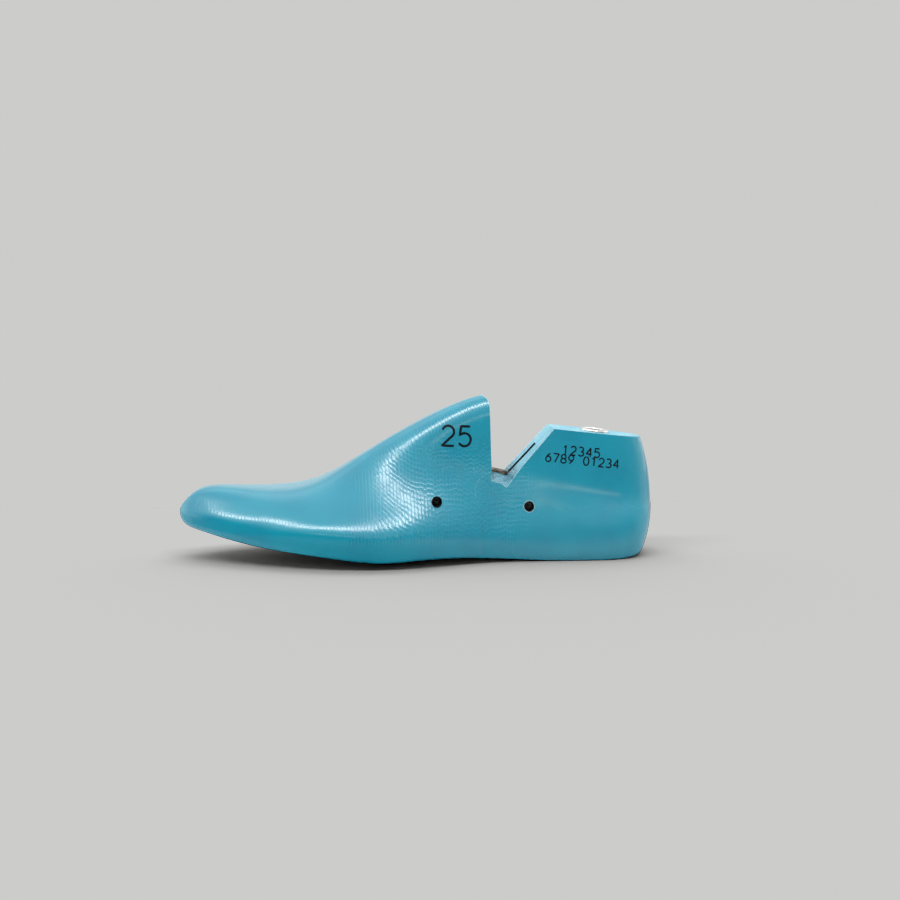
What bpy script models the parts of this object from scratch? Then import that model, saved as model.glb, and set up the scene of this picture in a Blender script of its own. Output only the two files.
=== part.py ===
# Hinged plastic shoe last, a left foot in a flat women's shape, size 39.
# Metres, +Z up. The toe points to -X, the heel to +X, and the outer side of the foot is -Y.

import math

import bmesh
import bpy
import numpy as np
from mathutils import Matrix, Vector

# Overall sizes of the last
last_length = 0.2600
cone_height = 0.0893
toe_tip_height = 0.0263
toe_tip_inward = 0.0070

# Half widths of the last just above its sole, from the line through the heel to the toe
ball_half_outer = 0.0440
ball_half_inner = 0.0402
waist_half_outer = 0.0262
waist_half_inner = 0.0235
heel_half = 0.0252
sole_flat_depth = 0.0003

# Back of the heel, seen from the side
heel_bulge_height = 0.028
heel_curve_radius = 0.112
seat_curve_radius = 0.068
seat_edge_radius = 0.0030
lean_start = 0.7

# The section's control points: shares of the half width below the girth, the share of the
# sole's edge lift that the bottom keeps further in, and the shoulder's level between the girth
# and the top
wall_share = 1.03
tuck_share = 0.985
edge_share = 0.935
under_share = 0.82
sole_flat_share = 0.44
under_lift = 0.55
shoulder_level = 0.86

# Hinge centre, and the knuckle of the heel part that turns in the forepart's socket
hinge_share = 0.6534
hinge_height = 0.0379
knuckle_radius = 0.0104
socket_start = math.radians(96.6)
socket_end = math.radians(227.4)
play = 0.0003

# The V between the two parts: the cone's face, the floor and its foot, the incline and the heel
# top. Three values are those at the outer side of the last, along its middle and at its inner
# side.
cone_face_ahead = 0.0006
cone_top_ahead = 0.0012
cone_corner_run = 0.0060
cone_corner_drop = 0.0052
floor_front_above = (0.0040, 0.0089, 0.0055)
floor_middle_back = 0.0037
floor_middle_above = (0.0029, 0.0083, 0.0045)
v_foot_back = (0.0066, 0.0086, 0.0066)
v_foot_above = (0.0004, 0.0063, 0.0020)
floor_side_half = 0.0250
floor_steps = 4
incline_top_back = 0.0340
heel_top_height = 0.0710
heel_top_slope = math.radians(6.7)

# Pins and the bores that hold them
front_pin_ahead = 0.0317
front_pin_below = 0.0034
rear_pin_behind = 0.0192
rear_pin_below = 0.0079
pin_diameter = 0.0052
pin_end_round = 0.0005
front_pin_length = 0.048
rear_pin_length = 0.036

# Spring link: three arched steel leaves side by side in one saw slot
leaf_names = ("hinge_link_left", "hinge_link_middle", "hinge_link_right")
leaf_thickness = 0.0014
arch_rise = 0.0138
arch_squareness = 2.4
arch_band = 0.0062
eye_diameter = 0.0104
eye_clear = 1.04
eye_travel = 0.0014
saw_radius_front = 0.0317
saw_ahead_front = 0.0069
saw_above_front = 0.0041
saw_radius_heel = 0.0300
saw_behind_heel = 0.0011
saw_above_heel = 0.0061

# Steel thimble that takes the jack's peg
thimble_outer = 0.0158
thimble_inner = 0.0100
thimble_length = 0.0460
thimble_proud = 0.0012
thimble_rim = 0.0008
thimble_behind_incline = 0.0245

# Facets
rings = 52
arc_step = math.radians(7.5)
round_sides = 24
saw_sides = 64
arch_steps = 20
corner_steps = 5
smooth_angle = math.radians(30)
beyond = 0.060

# Worked-out places
toe_x = -last_length / 2
hinge = Vector((toe_x + hinge_share * last_length, 0, hinge_height))
front_pin_at = hinge + Vector((-front_pin_ahead, 0, -front_pin_below))
rear_pin_at = hinge + Vector((rear_pin_behind, 0, -rear_pin_below))
bore_diameter = pin_diameter + 2 * play
slot_width = 3 * leaf_thickness + 4 * play
incline_top = Vector((hinge.x + incline_top_back, 0, heel_top_height))
heel_top_run = Vector((math.cos(heel_top_slope), 0, -math.sin(heel_top_slope)))
thimble_top = incline_top + heel_top_run * thimble_behind_incline

# Curves along the foot: share of the length from the toe, and the value there
top_line = (
    (0, toe_tip_height),
    (0.012, 0.0322),
    (0.044, 0.0384),
    (0.10, 0.0399),
    (0.21, 0.0392),
    (0.29, 0.0435),
    (0.38, 0.0567),
    (0.55, cone_height - 0.0080),
    (0.64, cone_height),
    (0.80, cone_height - 0.002),
    (1, cone_height - 0.010),
)
sole_line = (
    (0, toe_tip_height),
    (0.015, 0.0195),
    (0.046, 0.0167),
    (0.115, 0.0122),
    (0.21, 0.0074),
    (0.31, 0.0032),
    (0.42, -sole_flat_depth),
    (0.50, 0.0008),
    (0.58, 0.0016),
    (0.67, 0.0012),
    (0.75, 0.0003),
    (0.82, -sole_flat_depth),
    (1, -sole_flat_depth),
)
spine_line = (
    (0, toe_tip_inward),
    (0.15, 0.84 * toe_tip_inward),
    (0.30, 0.42 * toe_tip_inward),
    (0.45, 0.08 * toe_tip_inward),
    (0.60, 0),
    (1, 0),
)
outer_edge = (
    (0, 0),
    (0.012, 0.19 * ball_half_outer),
    (0.044, 0.36 * ball_half_outer),
    (0.115, 0.59 * ball_half_outer),
    (0.21, 0.82 * ball_half_outer),
    (0.31, 0.97 * ball_half_outer),
    (0.37, ball_half_outer),
    (0.46, 0.955 * ball_half_outer),
    (0.56, 0.44 * ball_half_outer + 0.55 * waist_half_outer),
    (0.67, waist_half_outer),
    (0.76, heel_half),
    (0.85, heel_half),
    (0.92, 0.98 * heel_half),
    (0.97, 0.79 * heel_half),
    (1, 0),
)
inner_edge = (
    (0, 0),
    (0.012, 0.17 * ball_half_inner),
    (0.044, 0.33 * ball_half_inner),
    (0.115, 0.58 * ball_half_inner),
    (0.21, 0.85 * ball_half_inner),
    (0.28, 0.97 * ball_half_inner),
    (0.34, ball_half_inner),
    (0.46, 0.83 * ball_half_inner),
    (0.56, 0.3 * ball_half_inner + 0.58 * waist_half_inner),
    (0.66, waist_half_inner),
    (0.76, 0.93 * heel_half),
    (0.85, heel_half),
    (0.92, 0.98 * heel_half),
    (0.97, 0.79 * heel_half),
    (1, 0),
)

# How far the sole's edge lies above the middle of the sole
outer_lift = ((0, 0), (0.05, 0.0010), (0.21, 0.0022), (0.40, 0.0050), (0.50, 0.0046),
              (0.60, 0.0022), (0.70, 0.0006), (0.85, 0.0004), (1, 0.0004))
inner_lift = ((0, 0), (0.05, 0.0010), (0.21, 0.0016), (0.40, 0.0026), (0.50, 0.0058),
              (0.60, 0.0080), (0.72, 0.0050), (0.85, 0.0006), (1, 0.0005))

# The section's upper control points, as shares of the half width
crest_share = ((0, 0.30), (0.115, 0.40), (0.25, 0.34), (0.38, 0.15), (0.50, 0.16),
               (0.64, 0.20), (0.80, 0.21), (1, 0.21))
shoulder_share = ((0, 0.62), (0.115, 0.60), (0.25, 0.56), (0.38, 0.29), (0.50, 0.36),
                  (0.64, 0.45), (0.80, 0.46), (1, 0.46))
flank_share = ((0, 0.80), (0.115, 0.78), (0.25, 0.76), (0.38, 0.545), (0.50, 0.485),
               (0.60, 0.475), (0.67, 0.475), (0.77, 0.525), (0.88, 0.575), (1, 0.58))
hip_share = ((0, 0.93), (0.115, 0.91), (0.25, 0.90), (0.38, 0.785), (0.50, 0.705),
             (0.60, 0.69), (0.67, 0.685), (0.77, 0.74), (0.88, 0.785), (1, 0.79))
girth_share = ((0, 1.00), (0.115, 1.01), (0.25, 1.01), (0.38, 1.00), (0.50, 0.985),
               (0.64, 0.94), (0.80, 0.955), (1, 0.955))

# Levels of the flank and the hip between the girth and the top. They fall towards the heel, and
# with them the line at which the upright upper wall turns into the leaning lower one.
flank_level = ((0, 0.54), (0.38, 0.54), (0.50, 0.54), (0.60, 0.53), (0.67, 0.50),
               (0.77, 0.415), (0.88, 0.305), (1, 0.25))
hip_level = ((0, 0.26), (0.38, 0.26), (0.50, 0.26), (0.60, 0.275), (0.67, 0.27),
             (0.77, 0.225), (0.88, 0.155), (1, 0.12))

# Heights of the section's lower control points above the sole's edge
girth_height = ((0, 0.0020), (0.05, 0.0040), (0.115, 0.0060), (0.25, 0.0132), (0.38, 0.0162),
                (0.50, 0.0185), (0.64, 0.0195), (0.80, 0.0200), (1, 0.0200))
wall_height = ((0, 0.0010), (0.05, 0.0025), (0.115, 0.0040), (0.25, 0.0078), (0.38, 0.0102),
               (0.50, 0.0105), (0.64, 0.0105), (0.80, 0.0100), (1, 0.0100))
tuck_height = ((0, 0.0004), (0.05, 0.0010), (0.115, 0.0012), (0.25, 0.0030), (0.38, 0.0042),
               (0.50, 0.0046), (0.64, 0.0042), (0.80, 0.0036), (1, 0.0036))
span_steps = (2, 3, 2, 2, 3, 3, 2, 2, 2, 1, 2)


def clear_scene():
    for item in list(bpy.data.objects):
        bpy.data.objects.remove(item)


def make_material(name, colour, roughness, metallic):
    material = bpy.data.materials.new(name)
    material.use_nodes = True
    shader = material.node_tree.nodes["Principled BSDF"]
    shader.inputs["Base Color"].default_value = (*colour, 1)
    shader.inputs["Roughness"].default_value = roughness
    shader.inputs["Metallic"].default_value = metallic
    return material


def make_object(name, mesh_builder, material=None):
    mesh_builder.normal_update()
    mesh = bpy.data.meshes.new(name)
    mesh_builder.to_mesh(mesh)
    mesh_builder.free()
    item = bpy.data.objects.new(name, mesh)
    bpy.context.collection.objects.link(item)
    if material:
        mesh.materials.append(material)
        mesh.shade_smooth()
        mesh.set_sharp_from_angle(angle=smooth_angle)
    return item


def station_of(share):
    # Stations crowd towards both ends, so that toe and heel close as round forms.
    return math.acos(1 - 2 * share) / math.pi


def share_of(station):
    return (1 - math.cos(math.pi * station)) / 2


class SmoothCurve:
    # A cubic spline through the points, with even curvature and free ends.
    def __init__(self, points):
        self.at = np.array([station_of(share) for share, value in points])
        self.value = np.array([value for share, value in points])
        count = len(points)
        step = np.diff(self.at)
        rise = np.diff(self.value) / step
        rows = np.eye(count)
        right = np.zeros(count)
        for i in range(1, count - 1):
            rows[i, i - 1:i + 2] = step[i - 1], 2 * (step[i - 1] + step[i]), step[i]
            right[i] = 6 * (rise[i] - rise[i - 1])
        self.bend = np.linalg.solve(rows, right)

    def __call__(self, station):
        i = int(np.clip(np.searchsorted(self.at, station) - 1, 0, len(self.at) - 2))
        step = self.at[i + 1] - self.at[i]
        a = (self.at[i + 1] - station) / step
        b = 1 - a
        line = a * self.value[i] + b * self.value[i + 1]
        curve = (a ** 3 - a) * self.bend[i] + (b ** 3 - b) * self.bend[i + 1]
        return float(line + curve * step ** 2 / 6)


top_curve = SmoothCurve(top_line)
sole_curve = SmoothCurve(sole_line)
spine_curve = SmoothCurve(spine_line)
share_curves = [SmoothCurve(line) for line in
                (crest_share, shoulder_share, flank_share, hip_share, girth_share)]
level_curves = [SmoothCurve(line) for line in (flank_level, hip_level)]
height_curves = [SmoothCurve(line) for line in (girth_height, wall_height, tuck_height)]
side_curves = {-1: (SmoothCurve(outer_edge), SmoothCurve(outer_lift)),
               1: (SmoothCurve(inner_edge), SmoothCurve(inner_lift))}


def half_section(station, side):
    # Control points of one side, from the crest down to the middle of the sole.
    top = top_curve(station)
    sole = sole_curve(station)
    middle = spine_curve(station)
    edge = side_curves[side][0](station)
    edge_z = sole + side_curves[side][1](station)
    crest, shoulder, flank, hip, girth = (curve(station) * edge for curve in share_curves)
    girth_z, wall_z, tuck_z = (edge_z + curve(station) for curve in height_curves)
    flank_at, hip_at = (curve(station) for curve in level_curves)
    rise = top - girth_z
    points = [
        (0, top),
        (crest, top),
        (shoulder, girth_z + shoulder_level * rise),
        (flank, girth_z + flank_at * rise),
        (hip, girth_z + hip_at * rise),
        (girth, girth_z),
        (wall_share * edge, wall_z),
        (tuck_share * edge, tuck_z),
        (edge_share * edge, edge_z),
        (under_share * edge, sole + under_lift * (edge_z - sole)),
        (sole_flat_share * edge, sole),
        (0, sole),
    ]
    return [(middle + side * y, z) for y, z in points]


def section_ring(station):
    # A closed B-spline through both halves of the section.
    outer = half_section(station, -1)
    inner = half_section(station, 1)
    control = np.array(outer[:-1] + inner[:0:-1])
    steps = span_steps + span_steps[::-1]
    ring = []
    for i, count in enumerate(steps):
        around = np.take(control, (i - 1, i, i + 1, i + 2), axis=0, mode="wrap")
        for k in range(count):
            t = k / count
            weights = np.array(((1 - t) ** 3, 3 * t ** 3 - 6 * t ** 2 + 4,
                                -3 * t ** 3 + 3 * t ** 2 + 3 * t + 1, t ** 3)) / 6
            ring.append(weights @ around)
    return ring


def heel_shift(z):
    # How far the back of the heel lies ahead of its furthest point at this height.
    radius = seat_curve_radius if z < heel_bulge_height else heel_curve_radius
    shift = (z - heel_bulge_height) ** 2 / (2 * radius)
    if z < seat_edge_radius:
        below = seat_edge_radius - max(z, 0)
        shift += seat_edge_radius - math.sqrt(seat_edge_radius ** 2 - below ** 2)
    return shift


def section_loop(builder, station):
    share = share_of(station)
    lean = max(0, (share - lean_start) / (1 - lean_start))
    lean = lean * lean * (3 - 2 * lean)
    loop = []
    for y, z in section_ring(station):
        z = max(z, 0)
        x = toe_x + share * last_length - lean * heel_shift(z)
        loop.append(builder.verts.new((x, y, z)))
    return loop


def last_body():
    # The whole uncut last, lofted from the tip of the toe to a closing line down the heel.
    builder = bmesh.new()
    loops = [section_loop(builder, i / rings) for i in range(1, rings)]
    count = len(loops[0])
    tip = builder.verts.new((toe_x, toe_tip_inward, toe_tip_height))
    for k in range(count):
        builder.faces.new((tip, loops[0][(k + 1) % count], loops[0][k]))
    closing = section_loop(builder, 1)
    for k in range(count // 2 + 1, count):
        builder.verts.remove(closing[k])
        closing[k] = closing[count - k]
    loops.append(closing)
    for ahead, behind in zip(loops, loops[1:]):
        for k in range(count):
            after = (k + 1) % count
            builder.faces.new((ahead[k], ahead[after], behind[after], behind[k]))
    bmesh.ops.remove_doubles(builder, verts=closing[:count // 2 + 1], dist=0.00001)
    bmesh.ops.recalc_face_normals(builder, faces=builder.faces)
    return builder


def arc(centre, radius, start, end, step=arc_step):
    # Points from one angle to another, seen from -Y, with +X at angle zero.
    count = max(2, round(abs(end - start) / step))
    turn = (end - start) / count
    return [(centre.x + radius * math.cos(start + turn * i),
             centre.z + radius * math.sin(start + turn * i)) for i in range(count + 1)]


def lofted_plate(sections):
    # A solid through outlines in the side view, each at its own place across the last.
    builder = bmesh.new()
    loops = [[builder.verts.new((x, y, z)) for x, z in outline] for y, outline in sections]
    for near, far in zip(loops, loops[1:]):
        for k in range(len(near)):
            builder.faces.new((near[k - 1], near[k], far[k], far[k - 1]))
    builder.faces.new(loops[0])
    builder.faces.new(loops[-1][::-1])
    bmesh.ops.recalc_face_normals(builder, faces=builder.faces)
    return builder


def side_plate(outline, half_width):
    return lofted_plate([(-half_width, outline), (half_width, outline)])


def cross_rod(at, diameter, length, sides=round_sides):
    builder = bmesh.new()
    turned = Matrix.Translation(at) @ Matrix.Rotation(math.pi / 2, 4, "X")
    bmesh.ops.create_cone(builder, cap_ends=True, segments=sides, radius1=diameter / 2,
                          radius2=diameter / 2, depth=length, matrix=turned)
    return builder


def make_cutter(name, mesh_builder):
    cutter = make_object(name, mesh_builder)
    cutter.hide_render = True
    cutter.display_type = "WIRE"
    return cutter


def cut(item, cutter):
    boolean = item.modifiers.new(cutter.name, "BOOLEAN")
    boolean.operation = "DIFFERENCE"
    boolean.solver = "EXACT"
    boolean.object = cutter


def forepart_waste():
    # Everything behind the cone's rear face, the socket and the lower joint.
    radius = knuckle_radius + play
    socket = arc(hinge, radius, math.acos(-cone_face_ahead / radius), socket_end)
    joint_x = socket[-1][0]
    right = -toe_x + beyond
    high = cone_height + beyond
    corner = []
    for i in range(corner_steps + 1):
        angle = math.pi / 2 * (1 - i / corner_steps)
        corner.append((hinge.x - cone_top_ahead - cone_corner_run * (1 - math.cos(angle)),
                       cone_height - cone_corner_drop * (1 - math.sin(angle))))
    return ([(corner[0][0], high)] + corner + socket
            + [(joint_x, -beyond), (right, -beyond), (right, high)])


def across(values, share):
    # share is 0 at the outer side of the last, 1 along its middle and 2 at its inner side.
    first = min(int(share), 1)
    return values[first] + (values[first + 1] - values[first]) * (share - first)


def heel_waste(share):
    # Everything ahead of the knuckle, in the V and above the heel's top. The V's floor is
    # highest along the middle of the last.
    knuckle = arc(hinge, knuckle_radius, socket_end, socket_start)
    joint_x = knuckle[0][0] + play
    end_x = toe_x - beyond
    heel_end = incline_top + heel_top_run * last_length
    return [(end_x, -beyond), (joint_x, -beyond), (joint_x, knuckle[0][1])] + knuckle[1:] + [
        (knuckle[-1][0], hinge.z + across(floor_front_above, share)),
        (hinge.x + floor_middle_back, hinge.z + across(floor_middle_above, share)),
        (hinge.x + across(v_foot_back, share), hinge.z + across(v_foot_above, share)),
        (incline_top.x, incline_top.z),
        (heel_end.x, heel_end.z),
        (heel_end.x, cone_height + beyond),
        (end_x, cone_height + beyond),
    ]


def v_cutter_solid():
    crown = slot_width / 2
    run = floor_side_half - crown
    steps = [i / floor_steps for i in range(floor_steps + 1)]
    outer = [(-floor_side_half + run * step, heel_waste(step)) for step in steps]
    inner = [(crown + run * step, heel_waste(1 + step)) for step in steps]
    ends = (-last_length, heel_waste(0)), (last_length, heel_waste(2))
    return lofted_plate([ends[0]] + outer + inner + [ends[1]])


def make_forepart(plastic):
    forepart = make_object("forepart", last_body(), plastic)
    centre = hinge + Vector((-saw_ahead_front, 0, saw_above_front))
    slot = cross_rod(centre, 2 * saw_radius_front, slot_width, saw_sides)
    bore = cross_rod(front_pin_at, bore_diameter, last_length)
    cut(forepart, make_cutter("joint_cutter", side_plate(forepart_waste(), last_length)))
    cut(forepart, make_cutter("front_slot_cutter", slot))
    cut(forepart, make_cutter("front_bore_cutter", bore))
    return forepart


def make_heel_part(plastic):
    heel = make_object("heel_part", last_body(), plastic)
    centre = hinge + Vector((saw_behind_heel, 0, saw_above_heel))
    slot = cross_rod(centre, 2 * saw_radius_heel, slot_width, saw_sides)
    bore = cross_rod(rear_pin_at, bore_diameter, last_length)
    cut(heel, make_cutter("v_cutter", v_cutter_solid()))
    cut(heel, make_cutter("rear_slot_cutter", slot))
    cut(heel, make_cutter("rear_bore_cutter", bore))
    cut(heel, make_cutter("thimble_bore_cutter", thimble_bore()))
    return heel


def down_the_thimble():
    # From the middle of the thimble's mouth, with +Z out of the heel's top.
    return Matrix.Translation(thimble_top) @ Matrix.Rotation(heel_top_slope, 4, "Y")


def thimble_bore():
    builder = bmesh.new()
    depth = thimble_length - thimble_proud + play
    radius = thimble_outer / 2 + play
    middle = Matrix.Translation((0, 0, (beyond - depth) / 2))
    bmesh.ops.create_cone(builder, cap_ends=True, segments=2 * round_sides, radius1=radius,
                          radius2=radius, depth=beyond + depth, matrix=down_the_thimble() @ middle)
    return builder


def make_thimble(steel):
    # A tube turned from its wall's outline, with a broken edge at the mouth.
    builder = bmesh.new()
    top = thimble_proud
    low = thimble_proud - thimble_length
    inner = thimble_inner / 2
    outer = thimble_outer / 2
    wall = [(outer, top - thimble_rim), (outer - thimble_rim, top), (inner + thimble_rim, top),
            (inner, top - thimble_rim), (inner, low), (outer, low)]
    verts = [builder.verts.new((x, 0, z)) for x, z in wall]
    edges = [builder.edges.new((a, b)) for a, b in zip(verts, verts[1:] + verts[:1])]
    bmesh.ops.spin(builder, geom=verts + edges, cent=(0, 0, 0), axis=(0, 0, 1),
                   angle=2 * math.pi, steps=2 * round_sides, use_merge=True)
    bmesh.ops.recalc_face_normals(builder, faces=builder.faces)
    thimble = make_object("thimble", builder, steel)
    thimble.matrix_world = down_the_thimble()
    return thimble


def make_pin(name, at, length, steel):
    # A turned pin lying along Y, with rounded ends.
    pin = make_object(name, cross_rod(Vector(), pin_diameter, length), steel)
    pin.location = at
    bevel = pin.modifiers.new("rounded ends", "BEVEL")
    bevel.width = pin_end_round
    bevel.segments = 2
    bevel.limit_method = "ANGLE"
    return pin


def arch_point(angle, side):
    # A point on the band's edge: side 0 is its middle line, 1 the top edge, -1 the underside.
    chord = rear_pin_at - front_pin_at
    half_chord = chord.length / 2
    along = Vector((chord.x, chord.z)).normalized()
    across = Vector((-along.y, along.x))
    power = 2 / arch_squareness
    c = math.cos(angle)
    s = math.sin(angle)
    middle_u = half_chord * (1 + math.copysign(abs(c) ** power, c))
    middle_v = arch_rise * s ** power
    normal = Vector((arch_rise * math.copysign(abs(c) ** (2 - power), c),
                     half_chord * s ** (2 - power)))
    normal *= side * arch_band / 2 / normal.length
    return along * (middle_u + normal.x) + across * (middle_v + normal.y)


def eye_arc(eye, leave, arrive):
    # Round the eye, clockwise or not, on the side away from the arch.
    start = math.atan2(leave.y - eye.y, leave.x - eye.x)
    end = math.atan2(arrive.y - eye.y, arrive.x - eye.x)
    if end > start:
        end -= 2 * math.pi
    centre = Vector((eye.x, 0, eye.y))
    return [Vector(point) for point in arc(centre, eye_diameter / 2, start, end, 2 * arc_step)]


def leaf_outline():
    # The leaf seen from the side, with the front pin at the origin: a squared arch with round eyes.
    chord = rear_pin_at - front_pin_at
    eyes = (Vector((0, 0)), Vector((chord.x, chord.z)))
    angles = [math.pi * (1 - i / arch_steps) for i in range(arch_steps + 1)]
    edges = {}
    for side in (1, -1):
        line = [arch_point(angle, side) for angle in angles]
        edges[side] = [point for point in line
                       if min((point - eye).length for eye in eyes) > eye_clear * eye_diameter / 2]
    top = edges[1]
    under = edges[-1][::-1]
    return top + eye_arc(eyes[1], top[-1], under[0]) + under + eye_arc(eyes[0], under[-1], top[0])


def eye_slot():
    # The rear eye is longer than its pin by the travel that the arch's spring takes up.
    radius = bore_diameter / 2
    along = (rear_pin_at - front_pin_at).normalized()
    tilt = math.atan2(along.z, along.x)
    far = rear_pin_at + along * eye_travel
    outline = (arc(far, radius, tilt - math.pi / 2, tilt + math.pi / 2, 2 * arc_step)
               + arc(rear_pin_at, radius, tilt + math.pi / 2, tilt + 1.5 * math.pi, 2 * arc_step))
    return side_plate(outline, slot_width)


def make_link(steel):
    front_eye = cross_rod(front_pin_at, bore_diameter, 2 * slot_width)
    eye_cutter = make_cutter("front_eye_cutter", front_eye)
    slot_cutter = make_cutter("rear_eye_cutter", eye_slot())
    outline = [(point.x, point.y) for point in leaf_outline()]
    for side, name in enumerate(leaf_names, -1):
        leaf = make_object(name, side_plate(outline, leaf_thickness / 2), steel)
        leaf.location = front_pin_at + Vector((0, side * (leaf_thickness + play), 0))
        cut(leaf, eye_cutter)
        cut(leaf, slot_cutter)


def build_last():
    clear_scene()
    plastic = make_material("turquoise_plastic", (0.045, 0.36, 0.47), 0.38, 0)
    heel_plastic = make_material("turquoise_heel_plastic", (0.045, 0.36, 0.47), 0.42, 0)
    spring_steel = make_material("spring_steel", (0.20, 0.15, 0.11), 0.45, 1)
    pin_steel = make_material("pin_steel", (0.35, 0.34, 0.33), 0.35, 1)
    bright_steel = make_material("thimble_steel", (0.80, 0.80, 0.78), 0.25, 1)
    make_forepart(plastic)
    make_heel_part(heel_plastic)
    make_link(spring_steel)
    make_pin("front_pin", front_pin_at, front_pin_length, pin_steel)
    make_pin("rear_pin", rear_pin_at, rear_pin_length, pin_steel)
    make_thimble(bright_steel)


build_last()
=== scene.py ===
# A hinged plastic shoe last on a pale floor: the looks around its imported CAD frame.
import math

import bmesh
import bpy
import numpy as np
from mathutils import Matrix, Vector
from mathutils.bvhtree import BVHTree


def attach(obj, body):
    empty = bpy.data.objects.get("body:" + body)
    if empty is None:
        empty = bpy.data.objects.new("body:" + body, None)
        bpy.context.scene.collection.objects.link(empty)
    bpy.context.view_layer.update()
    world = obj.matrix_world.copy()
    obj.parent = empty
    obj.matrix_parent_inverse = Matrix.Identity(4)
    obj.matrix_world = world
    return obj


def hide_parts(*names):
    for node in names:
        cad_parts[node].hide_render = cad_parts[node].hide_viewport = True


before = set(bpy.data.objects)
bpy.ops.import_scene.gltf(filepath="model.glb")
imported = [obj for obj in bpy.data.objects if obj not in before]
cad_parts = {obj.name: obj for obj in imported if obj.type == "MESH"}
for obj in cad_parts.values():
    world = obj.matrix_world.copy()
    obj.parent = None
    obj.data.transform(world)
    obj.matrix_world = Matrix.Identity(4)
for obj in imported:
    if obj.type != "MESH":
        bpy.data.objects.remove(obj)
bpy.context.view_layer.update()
print("frame loaded, nodes:", ", ".join(sorted(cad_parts)))

# Sizes that every piece shares, in metres
last = {
    "length": 0.26,
    "hinge": (0.039884, 0, 0.0379),
    "heelTopHeight": 0.0710,
    "heelTopSlope": math.radians(6.7),
    "inclineTopBack": 0.0340,
    "coneHeight": 0.0893,
}
hinge = Vector(last["hinge"])
toeX = -last["length"] / 2
inclineTop = Vector((hinge.x + last["inclineTopBack"], 0, last["heelTopHeight"]))
heelTopRun = Vector((math.cos(last["heelTopSlope"]), 0, -math.sin(last["heelTopSlope"])))

# The turned form of the foot
form = {
    "rings": 480,
    "aroundSteps": 10,
    "ballOuter": 0.0440,
    "ballInner": 0.0402,
    "waistOuter": 0.0262,
    "waistInner": 0.0235,
    "heelHalf": 0.0252,
    "toeTipHeight": 0.0263,
    "toeTipInward": 0.0070,
    "soleFlat": 0.0003,
    "bulgeHeight": 0.028,
    "heelCurve": 0.112,
    "seatCurve": 0.068,
    "seatRound": 0.0030,
    "leanStart": 0.7,
    "shoulderLevel": 0.86,            # between the girth and the top
    "wallShare": 1.03,
    "tuckShare": 0.985,
    "edgeShare": 0.935,
    "underShare": 0.82,
    "underLift": 0.55,
    "soleFlatShare": 0.44,
    "within": (0.0001, 0.9975, 0.9970),    # a hair inside the CAD solid: back, width, height
}


def scaled(size, *points):
    return tuple((share, size * value) for share, value in points)


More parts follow.
